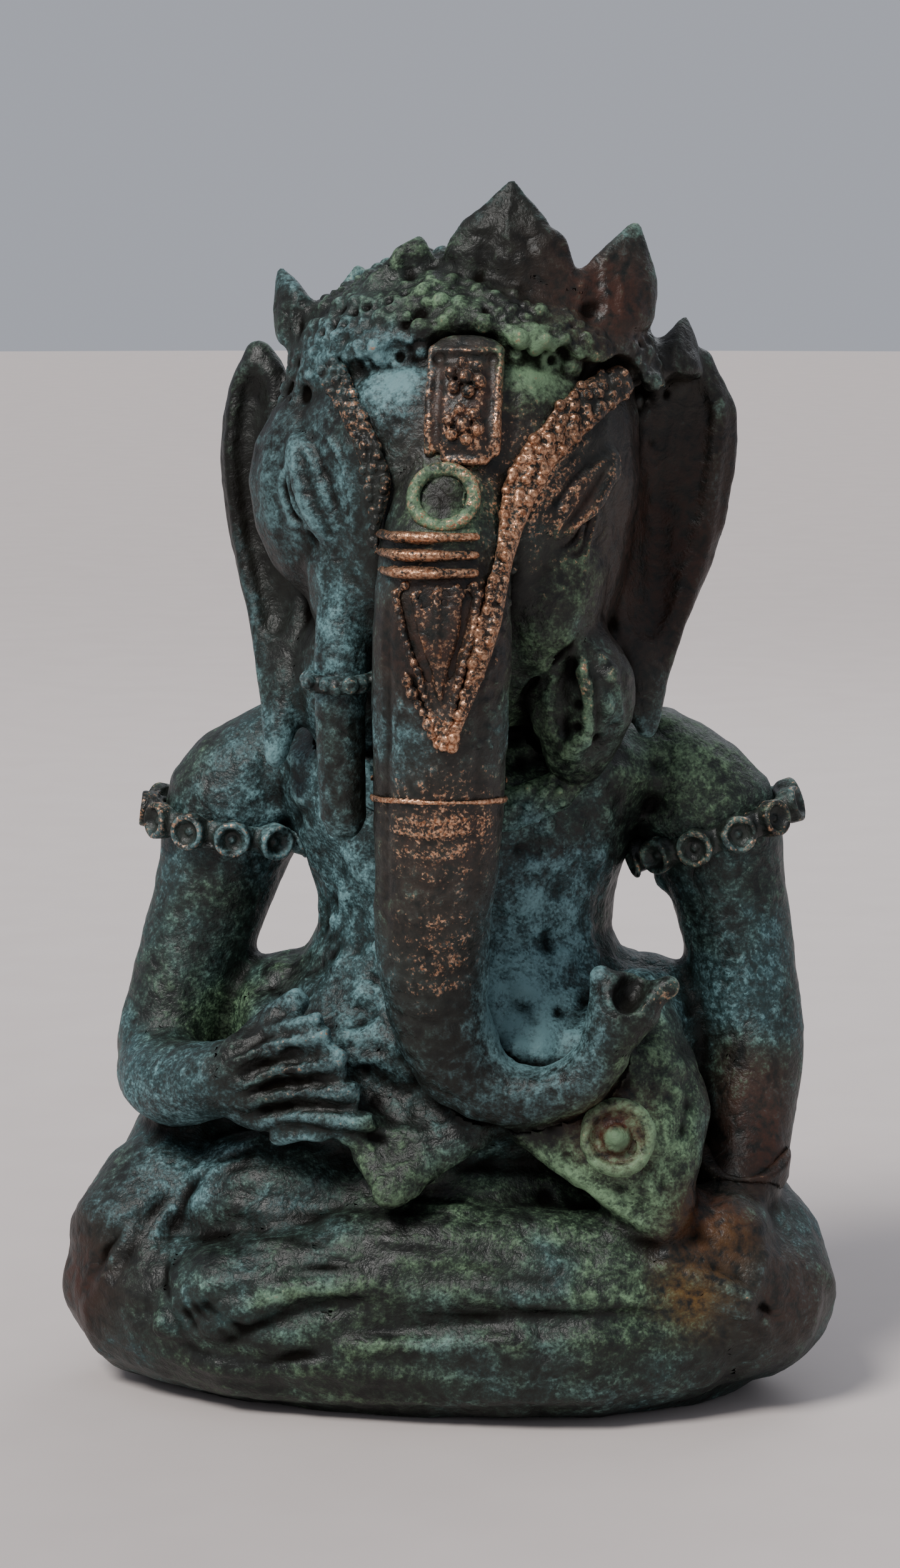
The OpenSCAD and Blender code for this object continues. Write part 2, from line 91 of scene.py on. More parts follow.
def node_mesh(node):
    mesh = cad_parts[node].data
    mesh.calc_loop_triangles()
    points = np.empty(len(mesh.vertices) * 3, np.float32)
    mesh.vertices.foreach_get("co", points)
    triangles = np.empty(len(mesh.loop_triangles) * 3, np.int32)
    mesh.loop_triangles.foreach_get("vertices", triangles)
    return points.reshape(-1, 3) / MM, triangles.reshape(-1, 3)


# ---- distance fields

CORNERS = [(a, b, c) for a in (0, 1) for b in (0, 1) for c in (0, 1)]


def slab(d, start, stop):
    """Index of the samples from start to stop along axis d, and of all of them along the others."""
    return tuple(slice(start, stop) if axis == d else slice(None) for axis in range(3))


def between(values, low, t):
    """Values of a block at the places low + t, linear between its samples."""
    step = np.array([values.shape[1] * values.shape[2], values.shape[2], 1])
    first = low @ step
    samples = values.ravel()
    total = np.zeros(len(low), np.float32)
    for bits in CORNERS:
        total += np.prod(np.where(bits, t, 1 - t), axis=1) * samples[first + np.dot(bits, step)]
    return total


class Grid:
    """A block of sample points h apart that covers some CAD nodes and a margin."""

    def __init__(self, nodes, h, margin=3.0):
        self.h = h
        corners = [box_mm(n) for n in nodes]
        lo = np.min([c[0] for c in corners], 0) - margin
        hi = np.max([c[1] for c in corners], 0) + margin
        self.first = np.floor(lo / h).astype(int)
        self.n = np.ceil(hi / h).astype(int) - self.first + 1
        self.transform = vdb.createLinearTransform(voxelSize=h)

    def distance(self, points, triangles, quads=None, block=None):
        """Signed distance to a closed mesh, negative inside, over the grid or a block of it."""
        more = {} if quads is None else {"quads": quads}
        grid = vdb.FloatGrid.createLevelSetFromPolygons(
            points, triangles=triangles, transform=self.transform, halfWidth=REACH / self.h, **more)
        start = [0, 0, 0] if block is None else [cut.start for cut in block]
        size = self.n if block is None else [cut.stop - cut.start for cut in block]
        out = np.empty(size, np.float32)
        grid.copyToArray(out, ijk=[int(v) for v in self.first + start])
        return out

    def block(self, low, high):
        """Index of the samples between two corners, as far as the grid has them."""
        first = np.clip(np.floor(low / self.h).astype(int) - self.first, 0, self.n)
        last = np.clip(np.ceil(high / self.h).astype(int) - self.first + 1, 0, self.n)
        return tuple(slice(a, b) for a, b in zip(first, last))

    def walled(self, field):
        """The field with open space round its border, so that what leaves the block is cut off flat."""
        for d in range(3):
            for rim in (slab(d, 0, 2), slab(d, -2, None)):
                field[rim] = REACH
        return field

    def rebuilt(self, field, web):
        """True distance to the outside of a field, with the seams up to about web wide closed."""
        grid = vdb.FloatGrid(float(field.max()))
        grid.copyFromArray(field, ijk=[int(v) for v in self.first])
        grid.transform = self.transform
        points, triangles, quads = grid.convertToPolygons(isovalue=web)
        return self.distance(points, triangles, quads) + web

    def sample(self, field, places):
        """Field values at any places, linear between the samples."""
        at = places / self.h - self.first
        low = np.clip(np.floor(at).astype(int), 0, self.n - 2)
        return between(field, low, (at - low).astype(np.float32))

    def slope(self, field, places):
        """Unit gradient of the field at places, and its length."""
        g = np.stack([self.sample(field, places + e) - self.sample(field, places - e)
                      for e in np.eye(3) * self.h], axis=1) / (2 * self.h)
        size = np.maximum(np.linalg.norm(g, axis=1, keepdims=True), 1e-6)
        return g / size, size[:, 0]


def melt(a, b, k):
    """Union of two fields with a fillet about k wide."""
    overlap = np.maximum(k - np.abs(a - b), 0) / k
    return np.minimum(a, b) - overlap * overlap * k / 4


def blur(field, sigma):
    """Gaussian blur, with sigma in samples."""
    reach = int(math.ceil(2.5 * sigma))
    weights = np.exp(-0.5 * (np.arange(-reach, reach + 1) / sigma) ** 2)
    weights /= weights.sum()
    for d in range(3):
        pad = [(0, 0)] * 3
        pad[d] = (reach, reach)
        wide = np.pad(field, pad, mode="edge")
        n = field.shape[d]
        field = np.zeros_like(field)
        for i, w in enumerate(weights):
            field += np.float32(w) * wide[slab(d, i, i + n)]
    return field


# ---- skinning

EDGES = [(p, q) for p in range(8) for q in range(p + 1, 8)
         if sum(abs(np.subtract(CORNERS[p], CORNERS[q]))) == 1]


def skin(grid, field, label):
    """Surface of every labelled part. Parts that touch share the points and faces between them.
    Returns points, quads, the label below and above each quad, and which points lie on the outside."""
    label = np.where(field < 0, label, 0).astype(np.uint8)
    low, high = label, label
    for d in range(3):
        lower, upper = slab(d, None, -1), slab(d, 1, None)
        low = np.minimum(low[lower], low[upper])
        high = np.maximum(high[lower], high[upper])
    cells = np.argwhere(low != high)
    number = np.full(low.shape, -1, np.int32)
    number[tuple(cells.T)] = np.arange(len(cells))

    values = np.stack([field[tuple((cells + c).T)] for c in CORNERS])
    parts = np.stack([label[tuple((cells + c).T)] for c in CORNERS])
    place = np.zeros((len(cells), 3), np.float32)
    count = np.zeros(len(cells), np.float32)
    middle = np.zeros((len(cells), 3), np.float32)
    middles = np.zeros(len(cells), np.float32)
    for p, q in EDGES:
        crossed = (values[p] < 0) != (values[q] < 0)
        t = np.where(crossed, values[p] / np.where(crossed, values[p] - values[q], 1), 0)
        cp, cq = np.array(CORNERS[p], np.float32), np.array(CORNERS[q], np.float32)
        place += crossed[:, None] * (cp + t[:, None] * (cq - cp))
        count += crossed
        seam = parts[p] != parts[q]
        middle += seam[:, None] * (cp + cq) / 2
        middles += seam
    outside = count > 0
    place = np.where(outside[:, None], place / np.maximum(count, 1)[:, None],
                     middle / np.maximum(middles, 1)[:, None])
    points = (cells + place + grid.first) * grid.h

    quads, below, above = [], [], []
    around = {0: [(0, -1, -1), (0, 0, -1), (0, 0, 0), (0, -1, 0)],
              1: [(-1, 0, -1), (-1, 0, 0), (0, 0, 0), (0, 0, -1)],
              2: [(-1, -1, 0), (0, -1, 0), (0, 0, 0), (-1, 0, 0)]}
    for d in range(3):
        at = np.argwhere(label[slab(d, None, -1)] != label[slab(d, 1, None)])
        quads.append(np.stack([number[tuple((at + o).T)] for o in around[d]], axis=1))
        below.append(label[tuple(at.T)])
        above.append(label[tuple((at + np.eye(3, dtype=int)[d]).T)])
    points = settled(grid, field, points, outside)
    return points, np.concatenate(quads), np.concatenate(below), np.concatenate(above), outside


def settled(grid, field, points, outside):
    """Moves the outside points onto the field's zero."""
    moving = points[outside]
    for _ in range(2):
        way, size = grid.slope(field, moving)
        gap = grid.sample(field, moving) / np.maximum(size, 0.3)
        moving = moving - way * np.clip(gap, -grid.h, grid.h)[:, None]
    points = points.copy()
    points[outside] = moving
    return points


def facing(points, quads):
    """Mean outward direction of the faces round each point; zero where there are none."""
    a, b, c, d = (points[quads[:, k]] for k in range(4))
    across = np.cross(c - a, d - b)
    total = np.zeros((len(points), 3))
    for axis in range(3):
        for k in range(4):
            total[:, axis] += np.bincount(quads[:, k], across[:, axis], len(points))
    return total / np.maximum(np.linalg.norm(total, axis=1, keepdims=True), 1e-9)


def write_piece(name, points, quads, normals, layers):
    """A mesh object from quads, with one float layer per entry of layers."""
    used, quads = np.unique(quads, return_inverse=True)
    quads = quads.reshape(-1, 4)
    mesh = bpy.data.meshes.new(name)
    mesh.vertices.add(len(used))
    mesh.vertices.foreach_set("co", (points[used] * MM).astype(np.float32).ravel())
    mesh.loops.add(quads.size)
    mesh.loops.foreach_set("vertex_index", quads.astype(np.int32).ravel())
    mesh.polygons.add(len(quads))
    mesh.polygons.foreach_set("loop_start", np.arange(0, quads.size, 4, dtype=np.int32))
    mesh.polygons.foreach_set("use_smooth", np.ones(len(quads), bool))
    mesh.update(calc_edges=True)
    mesh.normals_split_custom_set_from_vertices(normals[used])
    for key, values in layers.items():
        layer = mesh.attributes.new(key, "FLOAT", "POINT")
        layer.data.foreach_set("value", values[used].astype(np.float32))
    piece = bpy.data.objects.new(name, mesh)
    bpy.context.scene.collection.objects.link(piece)
    return piece


# ---- wax: a field that can be worked

def spline(points, steps=6):
    """Smooth line through a few points."""
    p = np.asarray(points, float)
    ends = np.vstack([2 * p[0] - p[1], p, 2 * p[-1] - p[-2]])
    line = []
    for i in range(len(p) - 1):
        a, b, c, d = ends[i:i + 4]
        for t in np.arange(steps) / steps:
            line.append((2 * b + (c - a) * t + (2 * a - 5 * b + 4 * c - d) * t ** 2
                         + (3 * b - a - 3 * c + d) * t ** 3) / 2)
    return np.array(line + [p[-1]])


def gap_to(line, places):
    """Distance from places to a line, and how far along it the nearest point is, from 0 to 1."""
    best = np.full(len(places), 1e9)
    along = np.zeros(len(places))
    for i in range(len(line) - 1):
        a, way = line[i], line[i + 1] - line[i]
        t = np.clip((places - a) @ way / max(way @ way, 1e-12), 0, 1)
        gap = np.linalg.norm(places - a - t[:, None] * way, axis=1)
        closer = gap < best
        best = np.where(closer, gap, best)
        along = np.where(closer, (i + t) / (len(line) - 1), along)
    return best, along


class Wax:
    """Some CAD nodes melted into one body that can be worked, with the nodes beside them left out of
    the result. h is the spacing of its samples, web closes the seams, and soften rounds everything."""

    def __init__(self, nodes, h, web, soften, beside=()):
        self.nodes = list(nodes)
        self.grid = grid = Grid(nodes, h)
        nearest = np.full(grid.n, REACH, np.float32)
        self.label = np.zeros(grid.n, np.uint8)
        for number, node in enumerate([*nodes, *beside], 1):
            lo, hi = box_mm(node)
            block = grid.block(lo - REACH, hi + REACH)
            if any(cut.stop <= cut.start for cut in block):
                continue
            own = grid.distance(*node_mesh(node), block=block)
            closer = own < nearest[block]
            self.label[block][closer] = number
            nearest[block] = np.minimum(own, nearest[block])
        self.field = blur(grid.rebuilt(grid.walled(nearest), web), soften / h)

    # -- finding places

    def front(self, across, high):
        """Depth of the first surface behind each place on the front view, or NaN."""
        depths = (self.grid.first[1] + np.arange(self.grid.n[1])) * self.grid.h
        across, high = np.broadcast_arrays(np.asarray(across, float), np.asarray(high, float))
        places = np.stack(np.broadcast_arrays(across[:, None], depths[None], high[:, None]), axis=2)
        values = self.grid.sample(self.field, places.reshape(-1, 3)).reshape(len(across), -1)
        solid = values < 0
        hit = solid.argmax(axis=1)
        row = np.arange(len(across))
        before, after = values[row, np.maximum(hit - 1, 0)], values[row, hit]
        depth = depths[hit] - self.grid.h * after / np.minimum(after - before, -1e-6)
        return np.where(solid.any(axis=1) & (hit > 0), depth, np.nan)

    def ahead(self, x, z):
        """The place where the front view meets the wax at (x, z); its depth is NaN beside the wax."""
        return np.array([x, self.front([x], [z])[0], z])

    def settle(self, places, steps=8):
        """The places moved onto the surface by the shortest way."""
        places = np.array(places, float).reshape(-1, 3)
        for _ in range(steps):
            way, _ = self.grid.slope(self.field, places)
            places = places - way * np.clip(self.grid.sample(self.field, places), -1.5, 1.5)[:, None]
        return places

    def drape(self, places):
        """A smooth line over the front of the wax through (across, high) places in millimetres."""
        line = spline(places)
        deep = self.front(line[:, 0], line[:, 1])
        seen = np.isfinite(deep)
        return np.stack([line[seen, 0], deep[seen], line[seen, 1]], axis=1)

    def around(self, points, reach):
        """The block of samples about some points, and those of its samples that lie near the surface."""
        points = np.atleast_2d(points)
        cuts = self.grid.block(points.min(0) - reach, points.max(0) + reach)
        block = self.field[cuts]
        at = np.argwhere(np.abs(block) < NEAR)
        places = (at + [cut.start for cut in cuts] + self.grid.first) * self.grid.h
        return block, tuple(at.T), places

    # -- working it

    def stroke(self, line, width, height, taper=True):
        """Raises a round ridge along a line, or presses a groove where height is below 0."""
        if len(line) < 2:
            return
        block, at, places = self.around(line, 2.2 * width)
        gap, along = gap_to(line, places)
        fade = np.sin(np.pi * np.clip(along, 0.02, 0.98)) ** 0.5 if taper else 1
        block[at] -= (height * fade * np.exp(-(gap / width) ** 2)).astype(np.float32)

    def swell(self, centre, radius, height):
        """Raises a soft bump, or presses a hollow where height is below 0."""
        block, at, places = self.around(centre, 2.2 * radius)
        gap = np.linalg.norm(places - centre, axis=1)
        block[at] -= (height * np.exp(-(gap / radius) ** 2)).astype(np.float32)

    def stud(self, centre, radius, web=0.15):
        """Adds a ball."""
        block, at, places = self.around(centre, radius + 2)
        ball = (np.linalg.norm(places - centre, axis=1) - radius).astype(np.float32)
        block[at] = melt(block[at], ball, web)

    def hoop(self, centre, axis, radius, tube, web=0.15):
        """Adds a ring that faces along axis."""
        block, at, places = self.around(centre, radius + tube + 2)
        off = places - centre
        high = off @ axis
        out = np.sqrt(np.maximum((off ** 2).sum(1) - high ** 2, 0)) - radius
        block[at] = melt(block[at], (np.hypot(out, high) - tube).astype(np.float32), web)

    def bore(self, centre, radius):
        """Takes a ball away."""
        block, at, places = self.around(centre, radius + 2)
        ball = (radius - np.linalg.norm(places - centre, axis=1)).astype(np.float32)
        block[at] = np.maximum(block[at], ball)

    # -- taking it out

    def cast(self, roughness, material):
        """Skins the wax and writes one piece for each of its nodes."""
        grid = self.grid
        points, quads, below, above, outside = skin(grid, self.field, self.label)
        relief = grid.sample(blur(self.field, 0.55 / grid.h), points)
        hollow = crests(grid, self.field, points)
        way, _ = grid.slope(self.field, points)
        paint = painted(points)
        grain = layered(points, GRAIN, 1) * roughness * (1 + 2.5 * paint["rough"])
        slanted = points * FOLD_STRETCH + [0, 0, 1] * (FOLD_SLANT * points[:, :1])
        folds = layered(slanted, FOLDS, 4)
        relief = relief - 0.35 * folds * paint["cloth"]
        points = points + way * np.where(outside, grain + folds * paint.pop("cloth"), 0)[:, None]
        points = np.clip(points, CAD_LOW, CAD_HIGH)
        layers = {"relief": relief * 10, "hollow": hollow, **paint}
        shell = np.concatenate([quads[above == 0], quads[below == 0][:, ::-1]])
        normals = facing(points, shell)
        for number, node in enumerate(self.nodes, 1):
            own, other = below == number, above == number
            if not (own | other).any():
                raise ValueError(f"{node} has no surface")
            faces = np.concatenate([quads[own], quads[other][:, ::-1]])
            piece = write_piece(node + "_cast", points, faces, normals, layers)
            piece.data.materials.append(material)
            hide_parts(node)
            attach(piece, "root")


def crests(grid, field, places, sigma=1.9):
    """The field at every third sample, blurred wide: below 0 in hollows, above 0 on crests."""
    coarse = blur(np.ascontiguousarray(field[::3, ::3, ::3]), sigma / (3 * grid.h))
    at = (places / grid.h - grid.first) / 3
    low = np.clip(np.floor(at).astype(int), 0, np.array(coarse.shape) - 2)
    return between(coarse, low, np.clip(at - low, 0, 1))


def mottle(places, size, seed):
    """Smooth noise between about -1 and 1 with lumps of the given size."""
    side = 48
    lattice = np.random.default_rng(SEED + seed).uniform(-1, 1, (side, side, side)).astype(np.float32)
    at = places / size
    low = np.floor(at).astype(int)
    t = (at - low).astype(np.float32)
    return between(np.pad(lattice, (0, 1), mode="wrap"), low % side, t * t * (3 - 2 * t))


def layered(places, waves, seed):
    """Sum of mottles of several heights and sizes."""
    return sum(height * mottle(places, size, seed + k) for k, (height, size) in enumerate(waves))


# ---- colour: where each patina lies

# For each patina layer, and for the cloth that is cast in folds: node, place in its box (across, deep
# and high), radius in mm and strength
PATCHES = {
    "blue": [
        ("torso", 0.2, 0.1, 0.74, 7, 1), ("torso", 0.2, 0.1, 0.52, 8, 1.1),
        ("torso", 0.72, 0.1, 0.46, 8, 1.4), ("torso", 0.28, 0, 0.3, 8, 0.9),
        ("torso", 0.66, 0, 0.32, 8, 2.3), ("head", 0.1, 0.25, 0.6, 10, 1),
        ("head", 0.24, 0.05, 0.35, 5, 0.8), ("head", 0.41, 0.09, 0.86, 4, 2),
        ("right_leg", 0.15, 0.2, 0.85, 8, 0.8), ("right_leg", 0.28, 0, 0.8, 8, 0.7),
        ("loincloth", 0.7, 0.3, 0.9, 5, 0.4), ("crown_cap", 0.12, 0.1, 0.3, 7, 0.5),
        ("right_upper_arm", 0.8, 0.2, 0.75, 7, 0.6), ("left_upper_arm", 0.35, 0.1, 0.35, 8, 0.3),
        ("trunk", 0.1, 0.1, 0.6, 5, 0.5), ("right_tusk", 0.3, 0.1, 0.7, 4, 0.5),
    ],
    "green": [
        ("head", 0.77, 0.18, 0.88, 5, 2.2), ("head", 0.88, 0.2, 0.45, 5, 0.8),
        ("head", 0.78, 0.1, 0.25, 6, 0.6), ("left_tusk_stump", 0.5, 0.1, 0.5, 6, 0.3),
        ("thigh_drape", 0.55, 0.1, 0.35, 9, 1.2), ("thigh_drape", 0.6, 0.1, 0.7, 6, 0.8),
        ("drape_rosette", 0.5, 0.1, 0.5, 1.4, 4), ("loincloth", 0.35, 0.1, 0.4, 5, 0.5),
        ("left_leg", 0.32, 0.1, 0.62, 9, 0.5), ("left_leg", 0.62, 0.1, 0.42, 7, 0.5),
        ("right_upper_arm", 0.62, 0.3, 0.18, 5, 1.3), ("crown_cap", 0.45, 0.1, 0.75, 7, 0.5),
        ("torso", 0.6, 0.1, 0.8, 7, 0.6), ("left_upper_arm", 0.3, 0.3, 0.9, 7, 0.7),
        ("right_leg", 0.45, 0.1, 0.35, 14, 0.3), ("forehead_medallion", 0.5, 0.1, 0.5, 5, 1),
    ],
    "rust": [
        ("right_leg", 0.02, 0.3, 0.35, 6, 1), ("left_forearm", 0.7, 0.1, 0.6, 7, 1),
        ("left_hand", 0.5, 0.3, 0.8, 5, 1.2), ("left_ear", 0.5, 0.3, 0.5, 14, 0.7),
        ("left_leg", 0.95, 0.2, 0.4, 7, 0.7), ("trunk", 0.35, 0, 0.42, 12, 0.4),
        ("trunk_plaque", 0.6, 0.1, 0.6, 8, 0.6), ("drape_rosette", 0.5, 0.1, 0.5, 4.5, 2),
        ("crown_left_inner_leaf", 0.4, 0.3, 0.3, 7, 0.8), ("left_eye", 0.4, 0.5, 0.4, 4, 0.6),
        ("forehead_strap", 0.5, 0.1, 0.5, 7, 0.6),
    ],
    "ochre": [
        ("left_leg", 0.8, 0.1, 0.66, 3.5, 1), ("left_hand", 0.4, 0.1, 0.2, 3.5, 0.8),
    ],
    "copper": [
        ("left_brow_band", 0.5, 0.4, 0.7, 16, 1.1), ("left_brow_band", 0.25, 0.1, 0.25, 5, 0.6),
        ("right_brow_band", 0.3, 0.4, 0.9, 8, 0.8), ("right_brow_band", 0.9, 0.1, 0.2, 7, 0.7),
        ("trunk_bars", 0.4, 0.1, 0.5, 6, 1), ("trunk_plaque", 0.6, 0.1, 0.05, 4, 1.1),
        ("trunk_plaque", 0.95, 0.1, 0.6, 4, 1), ("trunk", 0.5, 0, 0.72, 5, 1),
        ("trunk", 0.32, 0.1, 0.45, 10, 1.3), ("trunk", 0.3, 0.2, 0.26, 9, 1.35),
        ("crown_left_inner_leaf", 0.1, 0.2, 0.3, 4, 0.7), ("trunk_tip", 0.9, 0.1, 0.6, 3, 1.1),
        ("left_tusk_stump", 0.6, 0, 0.7, 4, 0.6), ("forehead_rosettes", 0.5, 0.1, 0.5, 5, 0.6),
        ("right_hand", 0.6, 0.2, 0.6, 8, 0.5), ("left_eye", 0.4, 0.5, 0.4, 5, 0.6),
        ("right_armlet", 0.3, 0.3, 0.5, 8, 0.5), ("left_armlet", 0.6, 0.3, 0.5, 8, 0.4),
        ("left_leg", 0.85, 0.15, 0.5, 6, 0.4),
    ],
    # Painted shade as well as dark patina: the ears and the underside of the seat are darkened where
    # shade falls
    "dark": [
        ("right_ear", 0.4, 0.5, 0.6, 18, 1.4), ("left_ear", 0.5, 0.5, 0.5, 18, 1.1),
        ("trunk_tip", 0.4, 0.5, 0.5, 6, 0.9), ("trunk", 0.5, 0.3, 0.1, 12, 1),
        ("left_tusk_stump", 0.45, 0.1, 0.5, 3, 0.4), ("right_hand", 0.45, 0.4, 0.5, 9, 0.8),
        ("right_tusk", 0.5, 0.5, 0.3, 7, 0.6), ("seat_base", 0.5, 0.2, 0, 26, 0.7),
        ("loincloth", 0.4, 0.1, 0.15, 6, 0.7), ("left_leg", 0.85, 0.15, 0.2, 9, 0.5),
        ("crown_centre_leaf", 0.5, 0.5, 0.6, 9, 1.2), ("crown_left_inner_leaf", 0.6, 0.5, 0.5, 7, 0.6),
        ("crown_left_outer_leaf", 0.5, 0.5, 0.6, 7, 0.9),
        ("crown_right_outer_leaf", 0.5, 0.5, 0.6, 7, 0.6), ("crown_cap", 0.8, 0.1, 0.3, 9, 0.9),
        ("crown_cap", 0.4, 0.1, 0.5, 9, 0.5), ("drape_rosette", 0.5, 0.1, 0.5, 2.8, 0.8),
        ("left_hand", 0.5, 0.3, 0.7, 7, 1), ("left_bracelet", 0.5, 0.3, 0.5, 6, 0.8),
        ("right_brow_band", 0.4, 0.3, 0.6, 8, 0.7), ("left_forearm", 0.8, 0.1, 0.4, 7, 0.5),
        ("trunk", 0.3, 0.1, 0.75, 10, 0.5), ("trunk_plaque", 0.6, 0.1, 0.6, 6, 0.8),
        ("right_leg", 0.02, 0.3, 0.35, 11, 1.1), ("forehead_medallion", 0.5, 0.5, 0.45, 2.1, 1.6),
    ],
    "rough": [
        ("torso", 0.75, 0.1, 0.75, 11, 1), ("torso", 0.5, 0, 0.3, 16, 0.8),
        ("left_tusk_stump", 0.5, 0.2, 0.4, 7, 1), ("thigh_drape", 0.5, 0.1, 0.5, 10, 0.6),
        ("crown_cap", 0.5, 0.1, 0.6, 18, 1.3), ("right_hand", 0.5, 0.2, 0.5, 9, 0.8),
    ],
    "cloth": [
        ("right_leg", 0.3, 0, 0.45, 22, 1), ("left_leg", 0.5, 0, 0.35, 22, 1),
        ("seat_base", 0.5, 0, 0.6, 22, 0.8), ("loincloth", 0.5, 0, 0.4, 6, 0.6),
    ],
}


def painted(points):
    """Strength of each patina layer at the points, from the soft patches."""
    layers = {}
    for name, patches in PATCHES.items():
        strongest = np.zeros(len(points), np.float32)
        for node, *place, radius, strength in patches:
            gap = np.linalg.norm(points - spot(node, *place), axis=1) / radius
            strongest = np.maximum(strongest, strength * np.exp(-gap ** 2))
        layers[name] = strongest
    return layers


# ---- material

# Colours, dark and light where there are two
SKIN = (0.005, 0.007, 0.006), (0.03, 0.038, 0.031)
RUST = (0.078, 0.023, 0.012)
OCHRE = (0.22, 0.11, 0.022)
BLUE_BLOOM = (0.014, 0.046, 0.052), (0.19, 0.345, 0.365)
GREEN_BLOOM = (0.017, 0.04, 0.022), (0.195, 0.315, 0.18)
METAL = (0.3, 0.125, 0.06), (0.72, 0.42, 0.26)
# near-black painted shade for the hollows
HOLLOW_SHADE = (0.003, 0.0026, 0.0022)
SHADE = (0.008, 0.006, 0.005)
FLOOR = (0.56, 0.5, 0.48), (0.62, 0.56, 0.54)


class Shader:
    """A short way to write a node tree."""

    def __init__(self, name):
        self.material = bpy.data.materials.new(name)
        self.material.use_nodes = True
        self.tree = self.material.node_tree
        self.surface = self.tree.nodes["Principled BSDF"]
        place = self.make("TexCoord").outputs["Object"]
        scaled = self.make("VectorMath", {0: place, "Scale": 1 / MM}, operation="SCALE")
        self.place = scaled.outputs[0]

    def make(self, kind, inputs=None, **settings):
        node = self.tree.nodes.new("ShaderNode" + kind)
        for key, value in settings.items():
            setattr(node, key, value)
        self.feed(node, inputs or {})
        return node

    def feed(self, node, inputs):
        """Links or sets some inputs of a node."""
        for key, value in inputs.items():
            self.plug(node.inputs[key], value)

    def plug(self, socket, value):
        if isinstance(value, bpy.types.NodeSocket):
            self.tree.links.new(value, socket)
        elif isinstance(value, tuple):
            socket.default_value = (*value, 1)
        else:
            socket.default_value = value

    def layer(self, name):
        return self.make("Attribute", attribute_name=name).outputs["Fac"]

    def noise(self, size, detail=2.0, roughness=0.5, swirl=0.0):
        """Noise from 0 to 1 with lumps about size mm across."""
        node = self.make("TexNoise", {"Vector": self.place, "Scale": 1 / size, "Detail": detail,
                                      "Roughness": roughness, "Distortion": swirl})
        return node.outputs["Fac"]

    def flecks(self, size):
        """Random value from 0 to 1 for each grain, about size mm across."""
        node = self.make("TexVoronoi", {"Vector": self.place, "Scale": 1 / size})
        return self.make("SeparateColor", {0: node.outputs["Color"]}).outputs[0]

    def math(self, operation, a, b=0.0, c=0.0):
        return self.make("Math", {0: a, 1: b, 2: c}, operation=operation).outputs[0]

    def total(self, *terms):
        """Weighted sum of (value, weight) pairs and numbers."""
        result = 0.0
        for term in terms:
            value, weight = term if isinstance(term, tuple) else (term, 1.0)
            result = self.math("MULTIPLY_ADD", value, weight, result)
        return result

    def step(self, value, low, high):
        """Smooth step from 0 at low to 1 at high."""
        ends = {"Value": value, "From Min": low, "From Max": high}
        return self.make("MapRange", ends, interpolation_type="SMOOTHSTEP").outputs[0]

    def mix(self, share, a, b):
        return self.make("Mix", {0: share, 6: a, 7: b}, data_type="RGBA").outputs[2]

    def blend(self, share, a, b):
        return self.make("Mix", {0: share, 2: a, 3: b}, data_type="FLOAT").outputs[0]


